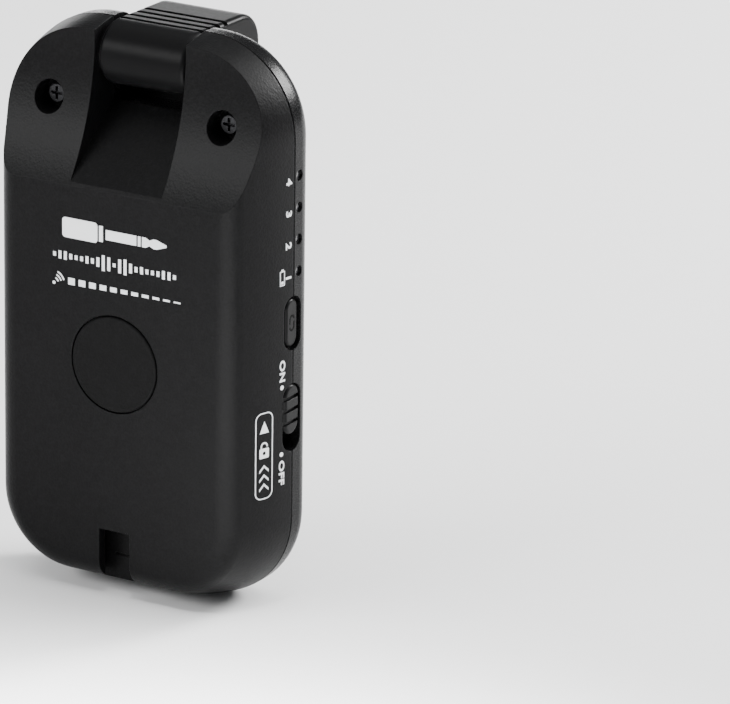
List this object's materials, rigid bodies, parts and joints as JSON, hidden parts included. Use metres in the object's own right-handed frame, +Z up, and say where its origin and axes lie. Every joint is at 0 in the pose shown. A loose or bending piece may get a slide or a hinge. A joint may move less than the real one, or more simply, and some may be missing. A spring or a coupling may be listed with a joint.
{
  "type": "wireless guitar transmitter",
  "caption": "Pocket wireless guitar transmitter: rounded two-shell housing with a swing-out jack plug, link button, slide switch and status lights.",
  "frame": {"origin": "middle of the bottom of the whole object's box", "axes": "+X to the side with the controls, +Y to the back where the plug folds, +Z up along the housing"},
  "size_m": [0.0396, 0.0236, 0.0724],
  "materials": {
    "shell_black": "fine spark texture",
    "shell_black_satin": "satin moulding",
    "pad_black": "fine grain",
    "screw_black": "black zinc",
    "steel": "plain",
    "nylon": "natural nylon",
    "arm_black": "semi gloss",
    "plug_nickel": "nickel plated",
    "insulator": "moulded",
    "brass": "tinned",
    "lead_jacket": "wire jacket",
    "button_black": "satin",
    "board_green": "solder mask",
    "light_white": "translucent",
    "battery_wrap": "foil pouch",
    "foam": "closed-cell foam",
    "connector_white": "nylon",
    "chip_black": "moulding compound"
  },
  "bodies": {
    "housing": {"front_shell": "shell_black", "rear_shell": "shell_black_satin", "round_pad": "pad_black", "housing_screws": "screw_black", "hinge_pin_left": "steel", "hinge_pin_right": "steel", "hinge_washers": "nylon", "body_leads": "lead_jacket", "tact_switch": "steel", "slide_switch_case": "steel", "main_pcb": "board_green", "light_pipe": "light_white", "indicator_leds": "light_white", "battery": "battery_wrap", "battery_foam": "foam", "battery_connector": "connector_white", "battery_leads": "lead_jacket", "usb_port": "steel", "usb_tongue": "insulator", "rf_shield": "steel", "radio_chip": "chip_black", "control_chips": "chip_black", "antenna": "connector_white"},
    "plug_arm": {"arm_housing": "arm_black", "arm_cover": "arm_black", "arm_screws": "screw_black", "plug_collar": "plug_nickel", "plug_sleeve": "plug_nickel", "plug_liner": "insulator", "plug_ring": "insulator", "plug_rod": "brass", "plug_tip": "plug_nickel", "plug_tags": "brass", "arm_leads": "lead_jacket"},
    "button": {"link_button": "button_black", "tact_plunger": "button_black"},
    "power_slider": {"switch_knob": "button_black", "slide_switch_lever": "insulator"}
  },
  "joints": [
    {"name": "plug_hinge", "type": "hinge", "parent": "housing", "child": "plug_arm", "pos_m": [0, -0.0017, 0.0681], "axis": [1, 0, 0], "range_deg": [0, 220]},
    {"name": "button_press", "type": "slide", "parent": "housing", "child": "button", "axis": [-1, 0, 0], "range_m": [0, 0.00035], "stiffness_N_per_m": 500, "springref_m": -0.0004},
    {"name": "switch_slide", "type": "slide", "parent": "housing", "child": "power_slider", "axis": [0, 0, 1], "range_m": [-0.002, 0]}
  ]
}
